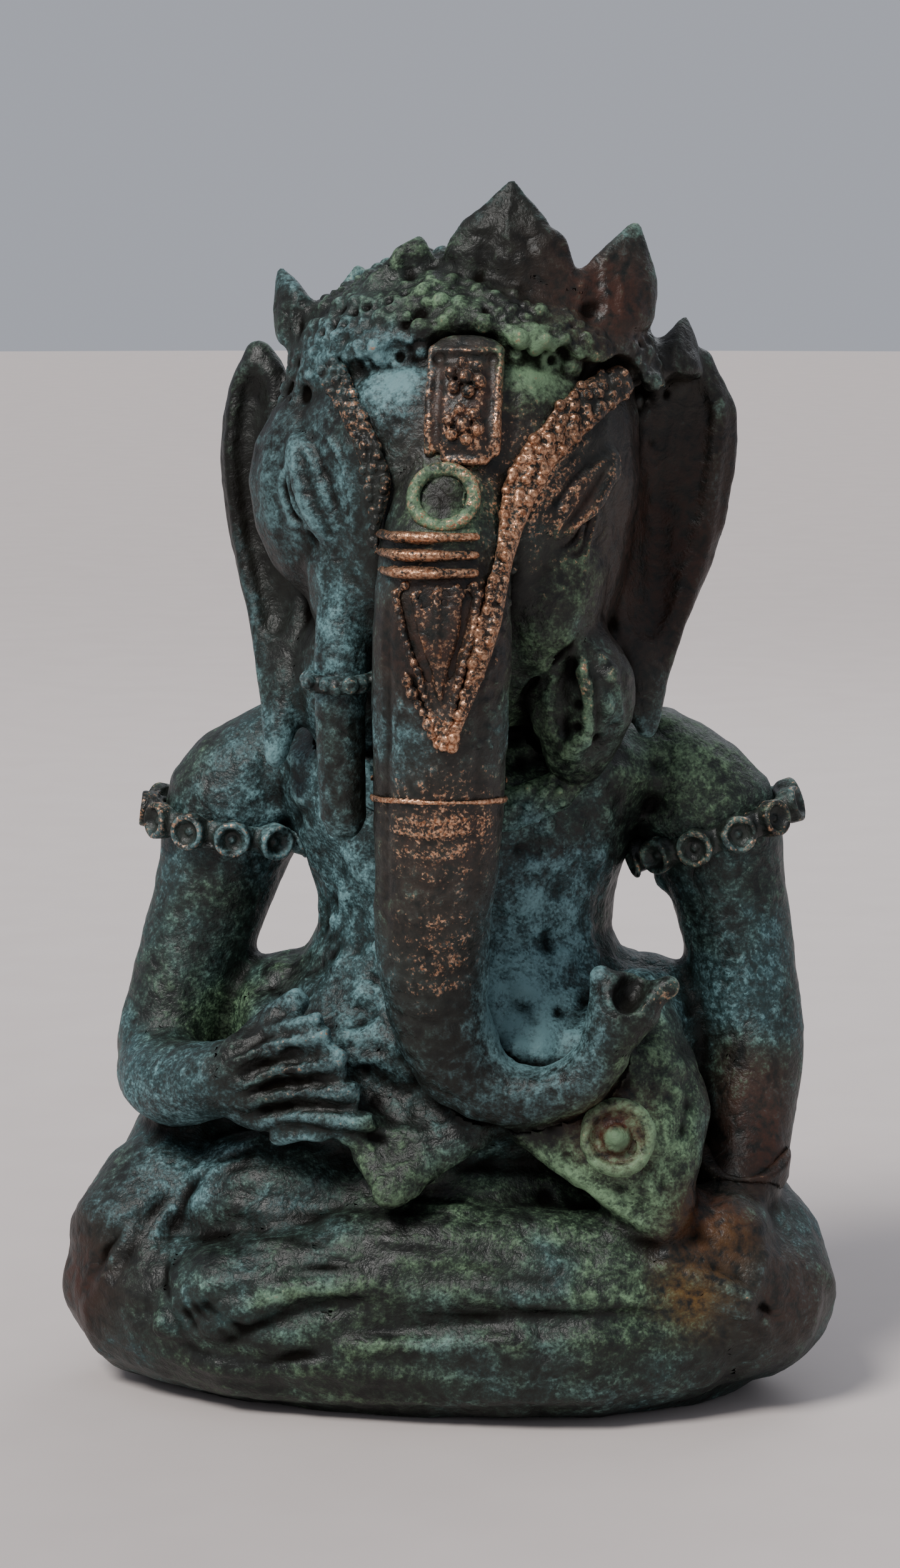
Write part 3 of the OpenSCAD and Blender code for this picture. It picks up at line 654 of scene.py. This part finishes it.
def bronze(name, verdigris, wear=0.0):
    """Old bronze: near-black skin, blue-green bloom that is thicker and paler on crests as a painted
    highlight, copper where it is rubbed, and painted shade in the hollows.
    """
    s = Shader(name)
    relief = s.math("MAXIMUM", s.math("MINIMUM", s.layer("relief"), 2.5), -3.0)
    hollow, dark = s.layer("hollow"), s.layer("dark")
    wide, middle = s.noise(8, 3), s.noise(2.4, 3, 0.55, 1.1)
    fine, grain = s.noise(0.9, 3, 0.6), s.noise(0.3, 2, 0.6)
    fleck, speck = s.flecks(0.45), s.flecks(0.25)

    cloud = s.total((middle, 0.6), (wide, 0.5), (fine, 0.3))
    skin_tone = s.mix(s.step(cloud, 0.5, 0.95), *SKIN)
    rust = s.math("MULTIPLY", s.layer("rust"), s.step(s.total((middle, 0.6), (fine, 0.5)), 0.38, 0.68))
    skin_tone = s.mix(rust, skin_tone, RUST)
    ochre = s.math("MULTIPLY", s.layer("ochre"), s.step(s.total((fine, 0.7), (middle, 0.4)), 0.4, 0.66))
    skin_tone = s.mix(ochre, skin_tone, OCHRE)

    blue, green = s.layer("blue"), s.layer("green")
    paint = s.math("MAXIMUM", blue, green)
    # Painted highlight over the bloom's own mottling: the relief and hollow terms make the bloom thicker
    # and paler on crests
    bloom = s.total((paint, 0.38), (relief, 0.07), (hollow, 0.06), (middle, 0.9), (fine, 0.75),
                    (grain, 0.35), (wide, 0.7), (dark, -0.35), (s.layer("rust"), -0.3),
                    (s.layer("copper"), -0.15), verdigris)
    bloom = s.step(bloom, 1.17, 1.88)
    tint = s.step(s.total((blue, 0.9), (green, -0.9), (wide, 1.2)), 0.3, 0.85)
    pale = s.total((fine, 0.55), (middle, 0.3), (grain, 0.35), (speck, 0.25), (paint, 0.22),
                   (relief, 0.1))
    pale = s.step(pale, 0.68, 1.22)
    cool = s.mix(pale, *BLUE_BLOOM)
    warm = s.mix(pale, *GREEN_BLOOM)
    colour = s.mix(s.math("MULTIPLY", bloom, 0.94), skin_tone, s.mix(tint, warm, cool))

    rubbed = s.total((relief, 0.13), (s.layer("copper"), 0.46), (fine, 0.6), (grain, 0.4), (middle, 0.45),
                     (fleck, 0.15), (speck, 0.42), (dark, -0.12), wear)
    rubbed = s.step(rubbed, 1.56, 1.92)
    metal = s.mix(s.step(grain, 0.35, 0.65), *METAL)
    colour = s.mix(rubbed, colour, metal)

    # Painted shade: the colour goes near black in hollows and creases, where shade falls
    shade_in_hollows = s.step(s.total((hollow, -0.4), (relief, -0.34), (grain, -0.15)), 0.0, 0.75)
    colour = s.mix(s.math("MULTIPLY", shade_in_hollows, 0.92), colour, HOLLOW_SHADE)
    # Painted shade, with dark patina: the dark patches pull the colour towards SHADE
    colour = s.mix(s.math("MULTIPLY", dark, 0.55), colour, SHADE)
    bump = s.make("Bump", {
        "Strength": 0.9, "Distance": 0.4 * MM,
        "Height": s.total((fine, 0.32), (grain, 0.14), (middle, 0.5), (bloom, 0.1))})
    satin = s.blend(rubbed, s.blend(bloom, 0.38, 0.52), 0.3)
    s.feed(s.surface, {
        "Base Color": colour,
        "Metallic": s.blend(rubbed, 0.0, 0.8),
        "Specular IOR Level": s.total((shade_in_hollows, -0.28), (bloom, -0.04), (dark, -0.13), 0.35),
        "Roughness": s.total((satin, 1.0), (fine, 0.3), -0.1),
        "Normal": bump.outputs["Normal"]})
    return s.material


PLAIN = bronze("aged_bronze", verdigris=0.09)
RUBBED = bronze("rubbed_bronze", verdigris=-0.35, wear=0.22)
TRIM = bronze("trim_bronze", verdigris=-0.22, wear=0.06)


# ---- working the wax

def unit(v):
    return v / np.linalg.norm(v)


def on(node, *places):
    """A smooth line through places in a node's box, in millimetres."""
    return spline([spot(node, *place) for place in places])


def flat(node, *places):
    """(across, high) in millimetres of places on the front view of a node's box."""
    lo, hi = box_mm(node)
    return lo[::2] + (hi - lo)[::2] * np.array(places)


def fan(node, first, last, count):
    """Lines on the front view that turn by even steps from a first one to a last one."""
    return np.linspace(flat(node, *first), flat(node, *last), count)


def creases(wax, lines, width, *heights):
    """Works lines into the front of the wax, with the heights by turns."""
    for k, line in enumerate(lines):
        wax.stroke(wax.drape(line), width, heights[k % len(heights)])


def flat_faces(node, area):
    """Centre and outward direction of each flat face of a node that covers at least area mm2."""
    points, triangles = node_mesh(node)
    a, b, c = points[triangles].transpose(1, 0, 2)
    normal = np.cross(b - a, c - a)
    size = np.linalg.norm(normal, axis=1) / 2
    normal /= np.maximum(2 * size, 1e-9)[:, None]
    middle = (a + b + c) / 3
    left = np.argsort(-size)
    found = []
    while len(left):
        i = left[0]
        same = ((normal[left] @ normal[i] > 0.999) & (abs((middle[left] - middle[i]) @ normal[i]) < 0.05)
                & (np.linalg.norm(middle[left] - middle[i], axis=1) < 8))
        group = left[same]
        if size[group].sum() >= area:
            found.append((np.average(middle[group], axis=0, weights=size[group]), normal[i]))
        left = left[~same]
    return found


def pave(wax, node, pitch, radius):
    """Sets uneven rows of beads over the front of a piece."""
    random = np.random.default_rng(SEED + len(node))
    lo, hi = box_mm(node)
    across = np.arange(lo[0] - 0.5, hi[0] + 0.5, wax.grid.h)
    for high in np.arange(lo[2] + 0.6 * pitch, hi[2] - 0.3 * pitch, 0.9 * pitch):
        seen = across[np.isfinite(wax.front(across, [high]))]
        if len(seen) < 2:
            continue
        edge = min(0.45 * pitch, 0.4 * (seen[-1] - seen[0]))
        count = max(1, int(round((seen[-1] - seen[0] - 2 * edge) / pitch)) + 1)
        for x in np.linspace(seen[0] + edge, seen[-1] - edge, count):
            x, z = np.array([x, high]) + random.uniform(-0.18, 0.18, 2) * pitch
            place = wax.ahead(x, z)
            if np.isfinite(place[1]):
                size = radius * random.uniform(0.75, 1.2)
                place[1] = max(place[1] + 0.05 * size, CAD_LOW[1] + size)
                wax.stud(place, size, 0.06)


def almonds(wax, centre, tip, count, gap, start, width, height):
    """Nested almond ridges about an eye, with grooves between them: the eye's centre and upper corner,
    how many ridges, how far apart, and how far the first one stands off the middle."""
    length = np.linalg.norm(tip - centre)
    way = (tip - centre) / length
    side = unit(np.array([-way[2], 0, way[0]]))
    for k in range(count):
        for hand in (-1, 1):
            reach, crest = length * (1 + 0.13 * k), hand * (start + gap * k)
            for off, lift in [(crest, height), (crest - hand * gap / 2, -height)][:1 + (k > 0)]:
                line = [centre + way * reach * t + side * off * (1 - t * t)
                        for t in np.linspace(-1, 1, 9)]
                wax.stroke(wax.settle(spline(line, 3), 5), width, lift)


def rays(axis, count, start=0.0):
    """Unit directions all round an axis."""
    side = unit(np.cross(axis, [0.0, 0.0, 1.0]))
    up = np.cross(side, axis)
    turns = 2 * math.pi * np.arange(count) / count + start
    return [side * math.cos(turn) + up * math.sin(turn) for turn in turns]


def flower(wax, centre, axis, radius, petals, size):
    """Ring of petals about a domed eye."""
    for ray in rays(axis, petals, 0.3):
        wax.stud(centre + ray * radius * 0.78, size, 0.05)
    wax.stud(centre + axis * 0.1, radius * 0.42, 0.05)


def dapple(wax, node, low, high, count, radius, height):
    """Scatters soft lumps and dents over the front of a node, between two places in its box."""
    random = np.random.default_rng(SEED + count)
    start, end = spot(node, *low), spot(node, *high)
    for _ in range(count):
        x, _, z = start + (end - start) * random.random(3)
        place = wax.ahead(x, z)
        if np.isfinite(place[1]):
            size = radius * random.uniform(0.6, 1.3)
            wax.swell(place, size, height * random.choice([-1.3, 1, 1]))


# ---- the statuette

BODY = ["seat_base", "right_leg", "left_leg", "left_foot", "torso", "waistband", "loincloth",
        "thigh_drape", "right_upper_arm", "right_forearm", "right_hand", "left_upper_arm",
        "left_forearm", "left_hand"]
LEAVES = ["crown_centre_leaf",
          *(f"crown_{side}_{row}_leaf" for side in ("right", "left") for row in ("inner", "outer")),
          "crown_back_leaves"]
HEAD = ["head", "right_ear", "left_ear", "right_eye", "left_eye", "trunk", "trunk_tip",
        "right_tusk", "left_tusk_stump", "crown_cap", *LEAVES]


def body():
    wax = Wax(BODY, h=0.44, web=0.9, soften=0.45, beside=["head", "trunk", "trunk_tip"])
    leggings(wax)
    foot(wax)
    sash(wax)
    right_fingers(wax)
    dapple(wax, "torso", (0.1, 0, 0.22), (0.9, 0, 0.9), 420, 1.1, 0.3)
    dapple(wax, "thigh_drape", (0.1, 0, 0.1), (0.9, 0, 0.9), 60, 0.9, 0.25)
    return wax


def leggings(wax):
    """Long soft folds of cloth that run across the shins and round the knees."""
    random = np.random.default_rng(SEED)
    middle, _, floor = spot("seat_base", 0.5, 0.0, 0.0)
    lowest, pitch, bend, droop = 3.4, 2.15, 0.07, 0.03
    for k in range(9):
        high = floor + lowest + pitch * k + random.uniform(-0.5, 0.5)
        start, end = random.uniform(-36, -8), random.uniform(2, 34)
        wave = random.uniform(0.6, 1.6)
        line = [(middle + x, high + wave * math.sin(bend * x + 1.7 * k) - droop * x * (k > 5))
                for x in np.linspace(start, end, 7)]
        wax.stroke(wax.drape(line), random.uniform(0.8, 1.2), random.choice([-0.25, -0.2, 0.3, 0.45]))
    shin = flat("seat_base", (0.385, 0.493), (0.557, 0.511), (0.671, 0.519), (0.785, 0.537))
    creases(wax, [shin], 1.3, 0.9)
    creases(wax, fan("seat_base", [(0.1, 0.315), (0.228, 0.526), (0.428, 0.652)],
                     [(0.3, 0.185), (0.428, 0.322), (0.642, 0.374)], 6), 0.7, -0.45, 0.4)
    creases(wax, fan("right_leg", [(0.036, 0.285), (0.118, 0.58), (0.281, 0.793)],
                     [(0.2, 0.58), (0.254, 0.825), (0.383, 0.891)], 6), 0.7, -0.5, 0.35)
    creases(wax, fan("left_leg", [(0.718, 0.551), (0.844, 0.46), (0.916, 0.215)],
                     [(0.793, 0.373), (0.914, 0.271), (0.981, 0.11)], 4), 0.7, -0.5, 0.35)


def foot(wax):
    """Toes at the left of the lap, and the lines round the sole."""
    creases(wax, fan("left_foot", [(0.049, 0.651), (0.079, 0.344), (0.187, 0.036)],
                     [(0.204, 0.548), (0.299, 0.356), (0.471, 0.164)], 4), 0.6, -0.6)
    sole = flat("left_foot", (-0.012, 0.19), (0.204, -0.066), (0.506, -0.117), (0.851, 0.019))
    creases(wax, [sole], 0.8, -0.45)


def sash(wax):
    """Rolled hem of the cloth in the lap, and the creases in it."""
    hems = [flat("loincloth", (0.07, 0.707), (0.222, 0.387), (0.329, 0.104)),
            flat("loincloth", (0.329, 0.104), (0.578, 0.213), (1.014, 0.707)),
            flat("thigh_drape", (0.054, 0.425), (0.403, 0.218), (0.756, 0.041))]
    creases(wax, hems, 0.9, 0.5)
    creases(wax, fan("torso", [(0.295, 0.33), (0.405, 0.288), (0.443, 0.304)],
                     [(0.342, 0.119), (0.405, 0.077), (0.443, 0.093)], 5), 0.7, -0.4)
    creases(wax, fan("thigh_drape", [(0.832, 0.839), (0.887, 0.538), (0.746, 0.124)],
                     [(0.63, 0.651), (0.544, 0.538), (0.584, 0.124)], 3), 0.8, -0.3)


def right_fingers(wax):
    """A groove above each finger, and the finger's back under it."""
    for line in fan("right_hand", [(0.11, 0.585), (0.412, 0.726), (0.749, 0.828)],
                    [(0.296, 0.049), (0.598, 0.113), (1.027, 0.061)], 5):
        wax.stroke(wax.drape(line), 0.5, -1.1)
        wax.stroke(wax.drape(line - [0, 1.05]), 0.6, 0.75)


def head_and_crown():
    wax = Wax(HEAD, h=0.3, web=0.6, soften=0.3, beside=["torso", "thigh_drape"])
    hair(wax)
    leaf_ridges(wax)
    eyes(wax)
    ears(wax)
    trunk_lines(wax)
    socket(wax)
    return wax


def eyes(wax):
    """Long slanting eyes, closed, with the wrinkles round them."""
    for node, upper, lower in (("right_eye", (0.1, 0.3, 0.97), (0.95, 0.2, 0.03)),
                               ("left_eye", (0.97, 0.6, 0.95), (0.03, 0.2, 0.05))):
        high, low = wax.settle(spot(node, *upper))[0], wax.settle(spot(node, *lower))[0]
        almonds(wax, (high + low) / 2, high, 5, 0.95, 1.35, 0.4, 0.5)
        wax.stroke(wax.settle(spline([low, (low + high) / 2, high], 6), 5), 0.5, -0.8)


def ears(wax):
    """Rolled rims, and a deep fold in the plate beside the face."""
    for node, outer, hand in (("right_ear", 0.1, 1), ("left_ear", 0.9, -1)):
        rim = on(node, (outer + 0.18 * hand, 0.4, 0.97), (outer, 0.5, 0.8), (outer, 0.4, 0.5),
                 (outer + 0.24 * hand, 0.3, 0.25), (outer + 0.36 * hand, 0.2, 0.05))
        wax.stroke(wax.settle(rim, 6), 0.9, 0.7)
        fold = on(node, (outer + 0.45 * hand, 0.3, 0.92), (outer + 0.42 * hand, 0.3, 0.6),
                  (outer + 0.5 * hand, 0.2, 0.3))
        wax.stroke(wax.settle(fold, 6), 1.5, -1.2)


def trunk_lines(wax):
    """Bevels down both sides of the trunk, rings across it, its nostril and the beads at the brow."""
    middle = flat("trunk", (0.282, 0.78), (0.275, 0.605), (0.248, 0.43), (0.229, 0.24))
    for side, depth in ((-4.6, -0.4), (4.4, -0.15)):
        creases(wax, [middle + [side, 0]], 0.5, depth)
    creases(wax, fan("trunk", [(0.06, 0.145), (0.236, 0.134), (0.405, 0.144)],
                     [(0.06, 0.447), (0.236, 0.436), (0.405, 0.446)], 10), 0.5, -0.2)
    creases(wax, fan("trunk", [(0.037, 0.478), (0.244, 0.469), (0.451, 0.477)],
                     [(0.037, 0.459), (0.244, 0.45), (0.451, 0.458)], 2), 0.3, 0.4)
    wax.bore(spot("trunk_tip", 0.5, 0.1, 0.75), 1.7)
    random = np.random.default_rng(SEED)
    for along in random.random(90):
        x, _, z = spot("left_brow_band", 0.26 - 0.10 * along, 0.0, 0.55 * (1 - along))
        place = wax.ahead(x + random.uniform(-0.6, 2.2), z)
        if np.isfinite(place[1]):
            wax.stud(place + [0, 0.1, 0], random.uniform(0.25, 0.45), 0.1)


def socket(wax):
    """Thin ridges that meet over the empty tusk socket, the hollow under them and the lumps about it."""
    for place, radius, depth in (((0.38, 0.0, 0.6), 1.4, -0.4), ((0.9, 0.1, 0.15), 2.6, -1.0)):
        wax.swell(wax.settle(spot("left_tusk_stump", *place))[0], radius, depth)
    apex = (0.5, 0.0, 0.97)
    for middle, end in (((0.16, 0.1, 0.78), (-0.12, 0.2, 0.45)), ((0.8, 0.1, 0.74), (1.06, 0.2, 0.28)),
                        ((0.56, 0.0, 0.62), (0.66, 0.0, 0.22))):
        line = wax.settle(on("left_tusk_stump", apex, middle, end), 6)
        wax.stroke(line, 0.38, 0.45)
        wax.stroke(line + [0.9, 0, 0.9], 0.5, -0.7)
    random = np.random.default_rng(SEED)
    for _ in range(26):
        place = spot("left_tusk_stump", random.uniform(0.3, 1.0), 0.0, random.uniform(0.0, 0.75))
        wax.swell(wax.settle(place)[0], random.uniform(0.5, 1.0), random.choice([-0.6, 0.5, 0.6]))


def hair(wax):
    """Close-set florets and curls over the cap, with dark pits between them. The cap is lowered first,
    to make room for them, and they keep clear of the leaves, the strap and the brow bands."""
    random = np.random.default_rng(SEED)
    lowered, clearance = 1.0, 1.2
    number = HEAD.index("crown_cap") + 1
    wax.field += lowered * blur((wax.label == number).astype(np.float32), 2.5)
    lo, hi = box_mm("crown_cap")
    tries = lo + (hi - lo) * random.random((30000, 3))
    tries = tries[np.abs(wax.grid.sample(wax.field, tries)) < 1.0]
    tries = wax.settle(tries, 3)
    cell = np.clip(np.round(tries / wax.grid.h - wax.grid.first).astype(int), 0, wax.grid.n - 1)
    tries = tries[wax.label[tuple(cell.T)] == number]
    clear = np.full(wax.grid.n, REACH, np.float32)
    for neighbour in [*LEAVES, "forehead_strap", "right_brow_band", "left_brow_band"]:
        clear = np.minimum(clear, wax.grid.distance(*node_mesh(neighbour)))
    tries = tries[wax.grid.sample(clear, tries) > clearance]
    chosen, sizes = np.zeros((0, 3)), []
    for place in tries:
        size = random.choice([0.5, 0.7, 0.9, 1.1])
        apart = np.linalg.norm(chosen - place, axis=1) > 0.75 * size + 0.72 * np.array(sizes)
        if apart.all():
            chosen = np.vstack([chosen, place])
            sizes.append(size)
    ways, _ = wax.grid.slope(wax.field, chosen)
    for place, way, size, room in zip(chosen, ways, sizes, wax.grid.sample(clear, chosen)):
        kind = random.random() * min(room / 3, 1) ** 0.5
        if 0.4 < kind < 0.7 and size > 0.6:
            wax.hoop(place - way * 0.1, way, 0.72 * size, 0.34 * size, 0.2)
            wax.bore(place + way * 0.2 * size, 0.42 * size)
        elif kind < 0.85:
            wax.stud(place - way * 0.3 * size, size, 0.25)
        else:
            wax.swell(place, 0.9 * size, -0.8)


def leaf_ridges(wax):
    """A rib up each leaf of the crown between two grooves, and a deep groove in the inner left one."""
    for node in LEAVES:
        rib = on(node, (0.5, 0.0, 0.25), (0.5, 0.15, 0.6), (0.5, 0.4, 0.95))
        wax.stroke(wax.settle(rib, 4), 0.5, 0.3)
        for side in (-0.2, 0.2):
            groove = on(node, (0.5 + side, 0.0, 0.15), (0.5 + 0.6 * side, 0.15, 0.6))
            wax.stroke(wax.settle(groove, 4), 0.6, -0.4)
    groove = on("crown_left_inner_leaf", (0.25, 0.1, 0.15), (0.4, 0.1, 0.4), (0.45, 0.2, 0.65))
    wax.stroke(wax.settle(groove, 4), 0.9, -0.9)


# ---- trim

def band(wax, node):
    """A chain of close-set beads."""
    wax.field += 0.25
    pave(wax, node, 1.12, 0.57)


def strap(wax, node):
    """Sunk panel with a thin raised border."""
    lo, hi = box_mm(node)
    for inset, width, height in ((0.45, 0.4, 0.3), (1.35, 0.5, -0.5)):
        left, right = lo[0] + inset, hi[0] - inset
        bottom, top = lo[2] + inset, hi[2] - 1 - inset
        corners = np.array([(left, top), (right, top), (right, bottom), (left, bottom)])
        for a, b in zip(corners, np.roll(corners, -1, axis=0)):
            wax.stroke(wax.drape([a, (a + b) / 2, b]), width, height, taper=False)


def rosettes(wax, node):
    for centre, axis in flat_faces(node, 4):
        if axis[1] < -0.3:
            wax.swell(centre, 1.8, -0.3)
            flower(wax, centre - axis * 0.35, axis, 1.9, 6, 0.66)


def medallion(wax, node):
    """A wide low ring about a cupped centre."""
    for centre, axis in flat_faces(node, 12):
        if axis[1] < -0.3:
            wax.swell(centre + axis * 0.1, 2.3, -1.9)
            wax.hoop(centre - axis * 0.3, axis, 2.95, 0.72)
            wax.hoop(centre - axis * 0.75, axis, 1.9, 0.25)
            wax.bore(centre - axis * 0.9 - [0, 0, 0.7], 1.0)
            for ray in rays(axis, 12):
                wax.swell(centre + ray * 2.95 + axis * 0.3, 0.5, -0.22)


def armlet(wax, node):
    """Thin rims round the hollow bosses."""
    for centre, axis in flat_faces(node, 7):
        wax.bore(centre + axis * 0.75, 1.55)
        wax.hoop(centre - axis * 0.15, axis, 1.6, 0.3, 0.08)
        wax.stud(centre - axis * 0.95, 0.6, 0.1)


def plaque(wax, node):
    """Fine line down the middle, a groove and a beaded border on both sides."""
    lo, hi = box_mm(node)
    across = np.arange(lo[0], hi[0], 0.1)
    rows = []
    for high in np.arange(lo[2] + 0.4, hi[2] - 0.3, 0.82):
        seen = across[np.isfinite(wax.front(across, [high]))]
        if len(seen) > 3:
            rows.append((high, seen[0], seen[-1]))
    wide = [row for row in rows if row[2] - row[1] > 3]
    wax.stroke(wax.drape([((a + b) / 2, high) for high, a, b in wide]), 0.26, 0.5)
    wax.stroke(wax.drape([(a + 1.15, high) for high, a, b in wide]), 0.45, -0.8)
    wax.stroke(wax.drape([(b - 1.15, high) for high, a, b in wide]), 0.45, -0.8)
    for high, a, b in rows:
        for x in (a + 0.3, b - 0.3):
            place = wax.ahead(x, high)
            if np.isfinite(place[1]):
                place[1] = max(place[1] + 0.05, CAD_LOW[1] + 0.5)
                wax.stud(place, 0.46, 0.05)


def thigh_rosette(wax, node):
    """A ring about a dome with a small knob."""
    lo, hi = box_mm(node)
    centre = wax.ahead((lo[0] + hi[0]) / 2, (lo[2] + hi[2]) / 2)
    ring = [centre + [2.05 * math.cos(turn), 0.4, 2.05 * math.sin(turn)]
            for turn in np.linspace(0, 2 * math.pi, 25)]
    wax.stroke(wax.settle(ring, 5), 0.5, -0.9, taper=False)
    wax.stud(centre + [0, 0.35, 0], 0.95, 0.3)


def tusk_ring(wax, node):
    pave(wax, node, 2.0, 0.8)


def collar(wax, node):
    pave(wax, node, 1.7, 0.4)


def smooth(wax, node):
    """Leaves the wax as it is."""


# For each small node, in the order in which they are made: how it is worked, the samples' spacing and
# the material
SMALL = {
    "right_brow_band": (band, 0.2, TRIM), "left_brow_band": (band, 0.2, RUBBED),
    "forehead_strap": (strap, 0.2, TRIM), "forehead_rosettes": (rosettes, 0.18, TRIM),
    "forehead_medallion": (medallion, 0.18, PLAIN), "right_armlet": (armlet, 0.2, TRIM),
    "left_armlet": (armlet, 0.2, TRIM), "trunk_plaque": (plaque, 0.2, TRIM),
    "drape_rosette": (thigh_rosette, 0.18, PLAIN), "right_tusk_ring": (tusk_ring, 0.2, TRIM),
    "necklace": (collar, 0.24, PLAIN), "left_bracelet": (smooth, 0.2, TRIM),
    "trunk_bars": (smooth, 0.2, RUBBED), "trunk_rings": (smooth, 0.2, RUBBED),
}

body().cast(roughness=1.0, material=PLAIN)
head_and_crown().cast(roughness=0.7, material=PLAIN)
for node, (work, h, material) in SMALL.items():
    wax = Wax([node], h=h, web=0.12, soften=0.15)
    work(wax, node)
    wax.cast(roughness=0.3, material=material)


# ---- floor, light and camera

def stage(target):
    bpy.ops.mesh.primitive_circle_add(vertices=96, radius=3.0, fill_type="NGON")
    floor = bpy.context.object
    floor.name = "floor"
    s = Shader("pale_floor")
    s.feed(s.surface, {"Base Color": s.mix(s.noise(14, 4), *FLOOR), "Roughness": 0.8})
    floor.data.materials.append(s.material)

    world = bpy.data.worlds.new("studio")
    bpy.context.scene.world = world
    world.use_nodes = True
    sky = world.node_tree.nodes["Background"].inputs
    sky["Color"].default_value = (0.46, 0.48, 0.54, 1)
    sky["Strength"].default_value = 0.9

    lamp("key", "SUN", (-0.34, -0.5, 0.78), 3.2, (1.0, 0.98, 0.95), target).angle = 0.35
    lamp("rim", "AREA", (0.16, 0.45, 0.45), 0.9, (0.92, 0.96, 1.0), target).size = 0.4


def aimed(name, data, place, target):
    """An object at a place, facing the target."""
    thing = bpy.data.objects.new(name, data)
    bpy.context.scene.collection.objects.link(thing)
    thing.location = place
    thing.rotation_euler = (target - thing.location).to_track_quat("-Z", "Y").to_euler()
    return thing


def lamp(name, kind, place, power, tone, target):
    light = bpy.data.lights.new(name, kind)
    light.energy = power
    light.color = tone
    aimed(name, light, place, target)
    return light


def camera(target):
    turn, rise, away = math.radians(7), math.radians(8), 0.430
    back = Vector((math.sin(turn) * math.cos(rise), -math.cos(turn) * math.cos(rise), math.sin(rise)))
    data = bpy.data.cameras.new("camera")
    data.lens = 95.6
    data.sensor_width = 36
    bpy.context.scene.camera = aimed("camera", data, target + back * away, target)


AIM = Vector((0.00003, 0.00267, 0.063))    # where the camera looks, fitted to the photograph
stage(AIM)
camera(AIM)
